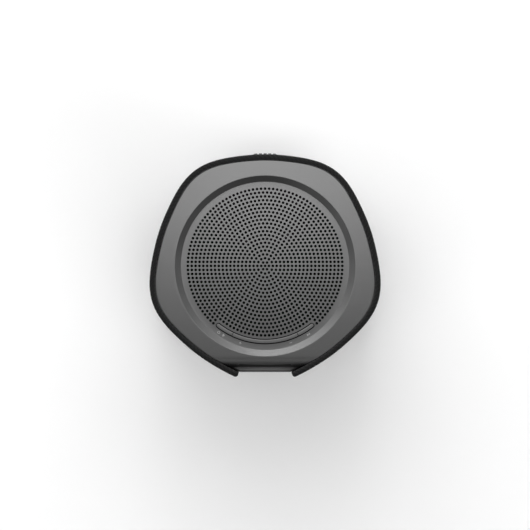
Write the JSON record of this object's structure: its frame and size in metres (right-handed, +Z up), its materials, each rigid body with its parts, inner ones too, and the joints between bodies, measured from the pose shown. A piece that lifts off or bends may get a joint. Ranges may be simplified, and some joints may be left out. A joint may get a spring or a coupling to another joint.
{
  "type": "portable speaker",
  "caption": "Upright battery speaker: lobed fabric-wrapped body, dished perforated metal top with an arc of buttons, flat back strip with a port flap, drivers and battery inside.",
  "frame": {"origin": "on the surface the foot ring stands on, under the axis of the round grille", "axes": "+Z up, +Y towards the flat back strip with the port flap, -Y towards the badge, +X to the side of the power button"},
  "size_m": [0.1194, 0.1166, 0.18],
  "materials": {
    "fabric": "woven",
    "anodised": "fine bead-blasted, anodised grey",
    "dark_plastic": "matt",
    "rubber": "matt",
    "paper": "pressed pulp",
    "steel": "satin",
    "ferrite": "matt",
    "board": "solder mask",
    "cell_wrap": "shrink film",
    "copper": "enamelled winding"
  },
  "bodies": {
    "housing": {"fabric_wrap": "fabric", "wrap_carrier": "dark_plastic", "badge": "steel", "top_plate": "anodised", "dust_screen": "rubber", "key_mat": "rubber", "key_board": "board", "switch_power": "steel", "switch_volume_up": "steel", "switch_volume_down": "steel", "switch_play": "steel", "top_baffle": "dark_plastic", "acoustic_box": "dark_plastic", "base_cap": "dark_plastic", "base_screw_1": "steel", "base_screw_2": "steel", "base_screw_3": "steel", "base_screw_4": "steel", "foot_ring": "rubber", "woofer_gasket": "rubber", "woofer_basket": "steel", "woofer_washer": "steel", "woofer_magnet": "ferrite", "woofer_yoke": "steel", "woofer_surround": "rubber", "woofer_spider": "paper", "left_driver_frame": "dark_plastic", "left_driver_magnet": "steel", "left_driver_surround": "rubber", "right_driver_frame": "dark_plastic", "right_driver_magnet": "steel", "right_driver_surround": "rubber", "radiator_frame": "dark_plastic", "radiator_surround": "rubber", "back_panel": "dark_plastic", "port_board": "board", "charging_socket": "steel", "audio_socket": "dark_plastic", "main_board": "board", "radio_shield": "steel", "heat_sink": "anodised", "battery_cradle": "dark_plastic", "battery_cell_left": "cell_wrap", "battery_cell_right": "cell_wrap", "ribbon_cable": "dark_plastic", "battery_lead": "rubber", "port_lead": "rubber"},
    "power_button": {"power_button": "anodised"},
    "volume_rocker": {"volume_rocker": "anodised"},
    "play_button": {"play_button": "anodised"},
    "port_flap": {"port_flap": "rubber"},
    "woofer_cone": {"woofer_cone": "paper", "woofer_dust_cap": "paper", "woofer_coil": "copper"},
    "radiator": {"radiator_weight": "steel"},
    "left_cone": {"left_driver_cone": "paper"},
    "right_cone": {"right_driver_cone": "paper"}
  },
  "joints": [
    {"name": "power_button_press", "type": "slide", "parent": "housing", "child": "power_button", "axis": [0, 0, -1], "range_m": [0, 0.0004], "stiffness_N_per_m": 600, "springref_m": -0.0002},
    {"name": "volume_rock", "type": "hinge", "parent": "housing", "child": "volume_rocker", "pos_m": [0, 0.03925, 0.1745], "axis": [0, 1, 0], "range_deg": [-1.2, 1.2], "stiffness_Nm_per_rad": 0.4},
    {"name": "play_button_press", "type": "slide", "parent": "housing", "child": "play_button", "axis": [0, 0, -1], "range_m": [0, 0.0004], "stiffness_N_per_m": 600, "springref_m": -0.0002},
    {"name": "port_flap_swing", "type": "hinge", "parent": "housing", "child": "port_flap", "pos_m": [-0.0107, 0.0551, 0.02575], "axis": [0, 0, 1], "range_deg": [0, 100], "stiffness_Nm_per_rad": 0.003},
    {"name": "woofer_excursion", "type": "slide", "parent": "housing", "child": "woofer_cone", "axis": [0, 0, 1], "range_m": [-0.002, 0.002], "stiffness_N_per_m": 2000, "deforming": ["woofer_surround", "woofer_spider"]},
    {"name": "radiator_excursion", "type": "slide", "parent": "housing", "child": "radiator", "axis": [0, 0, 1], "range_m": [-0.003, 0.003], "stiffness_N_per_m": 2500, "springref_m": 0.00009, "deforming": ["radiator_surround"]},
    {"name": "left_driver_excursion", "type": "slide", "parent": "housing", "child": "left_cone", "axis": [0.9511, -0.309, 0], "range_m": [-0.001, 0.001], "stiffness_N_per_m": 1500, "deforming": ["left_driver_surround"]},
    {"name": "right_driver_excursion", "type": "slide", "parent": "housing", "child": "right_cone", "axis": [-0.9511, -0.309, 0], "range_m": [-0.001, 0.001], "stiffness_N_per_m": 1500, "deforming": ["right_driver_surround"]}
  ]
}
